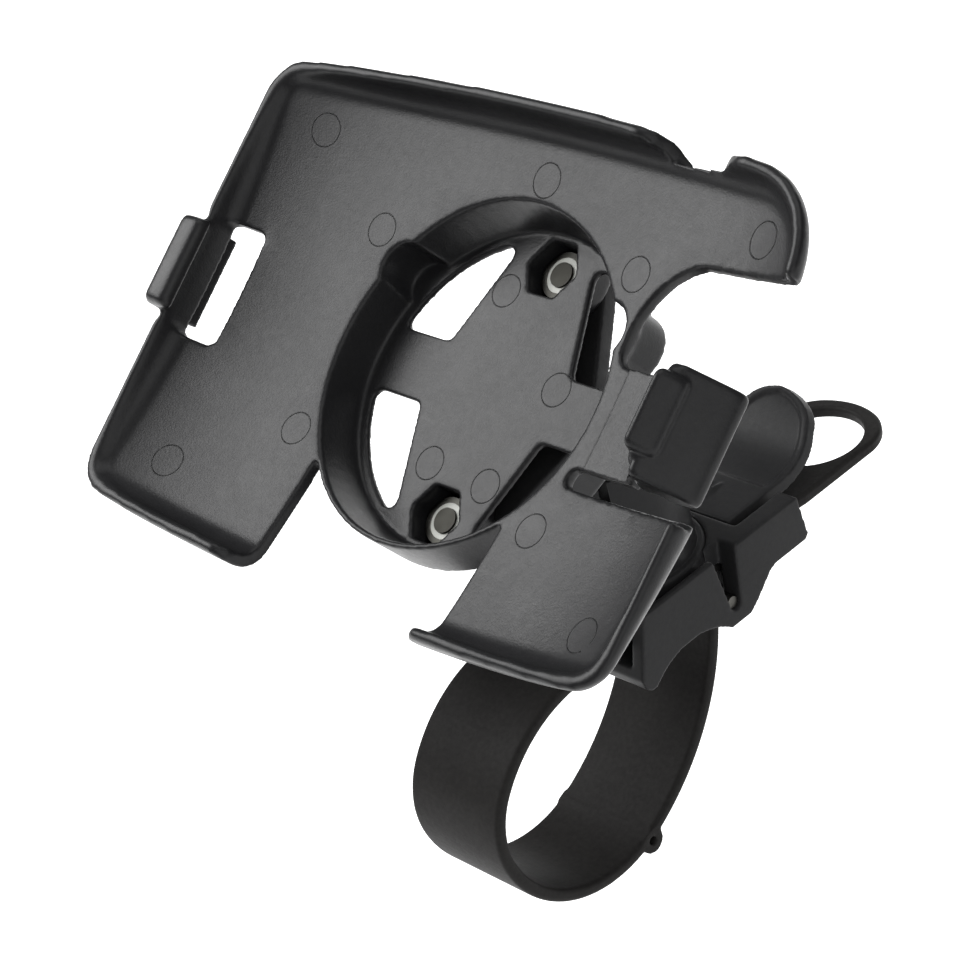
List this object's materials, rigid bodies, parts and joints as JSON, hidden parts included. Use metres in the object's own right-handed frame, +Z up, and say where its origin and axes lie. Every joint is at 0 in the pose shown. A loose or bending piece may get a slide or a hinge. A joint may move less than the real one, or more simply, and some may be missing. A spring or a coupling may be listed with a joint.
{
  "type": "handlebar device cradle",
  "caption": "Landscape device cradle with a hooked side, a flexing latch and a round well, on a ball joint above a saddle that a rubber strap ties to a handlebar.",
  "frame": {"origin": "centre of the handlebar that the saddle sits on, midway along the saddle's width", "axes": "+X along the handlebar, +Y from the bar towards the strap's pull ring, +Z up through the saddle towards the ball"},
  "size_m": [0.1422, 0.1356, 0.1457],
  "materials": {
    "tray_plastic": "satin charcoal, finely grained",
    "body_plastic": "satin black",
    "rubber": "matt black",
    "steel": "plain zinc-plated",
    "nylon": "dull"
  },
  "bodies": {
    "base": {"saddle": "body_plastic", "socket_cup": "body_plastic", "anchor_pin": "steel", "strap_loop": "rubber"},
    "tail": {"strap_tail": "rubber"},
    "paddle": {"release_paddle": "body_plastic"},
    "joint_ball": {"ball": "body_plastic"},
    "cradle": {"ball_plate": "body_plastic", "plate_screw_upper": "steel", "plate_screw_lower": "steel", "lock_nut_upper": "steel", "lock_nut_lower": "steel", "nut_insert_upper": "nylon", "nut_insert_lower": "nylon", "cradle_tray": "tray_plastic"},
    "latch": {"latch_finger": "tray_plastic"}
  },
  "joints": [
    {"name": "ball_tilt", "type": "hinge", "parent": "base", "child": "joint_ball", "pos_m": [0, 0.00475, 0.0481], "axis": [1, 0, 0], "range_deg": [-82, 9]},
    {"name": "cradle_turn", "type": "hinge", "parent": "joint_ball", "child": "cradle", "pos_m": [0, 0.00475, 0.0481], "axis": [0, -0.5934, 0.8049], "continuous": true},
    {"name": "latch_flex", "type": "hinge", "parent": "cradle", "child": "latch", "pos_m": [0.037, -0.0197, 0.08126], "axis": [0, 0.8049, 0.5934], "range_deg": [0, 8], "stiffness_Nm_per_rad": 0.5},
    {"name": "paddle_lift", "type": "hinge", "parent": "base", "child": "paddle", "pos_m": [0, 0.02085, 0.0264], "axis": [1, 0, 0], "range_deg": [0, 8], "stiffness_Nm_per_rad": 0.3},
    {"name": "strap_pull", "type": "slide", "parent": "base", "child": "tail", "axis": [0, 1, 0], "range_m": [0, 0.006]}
  ]
}
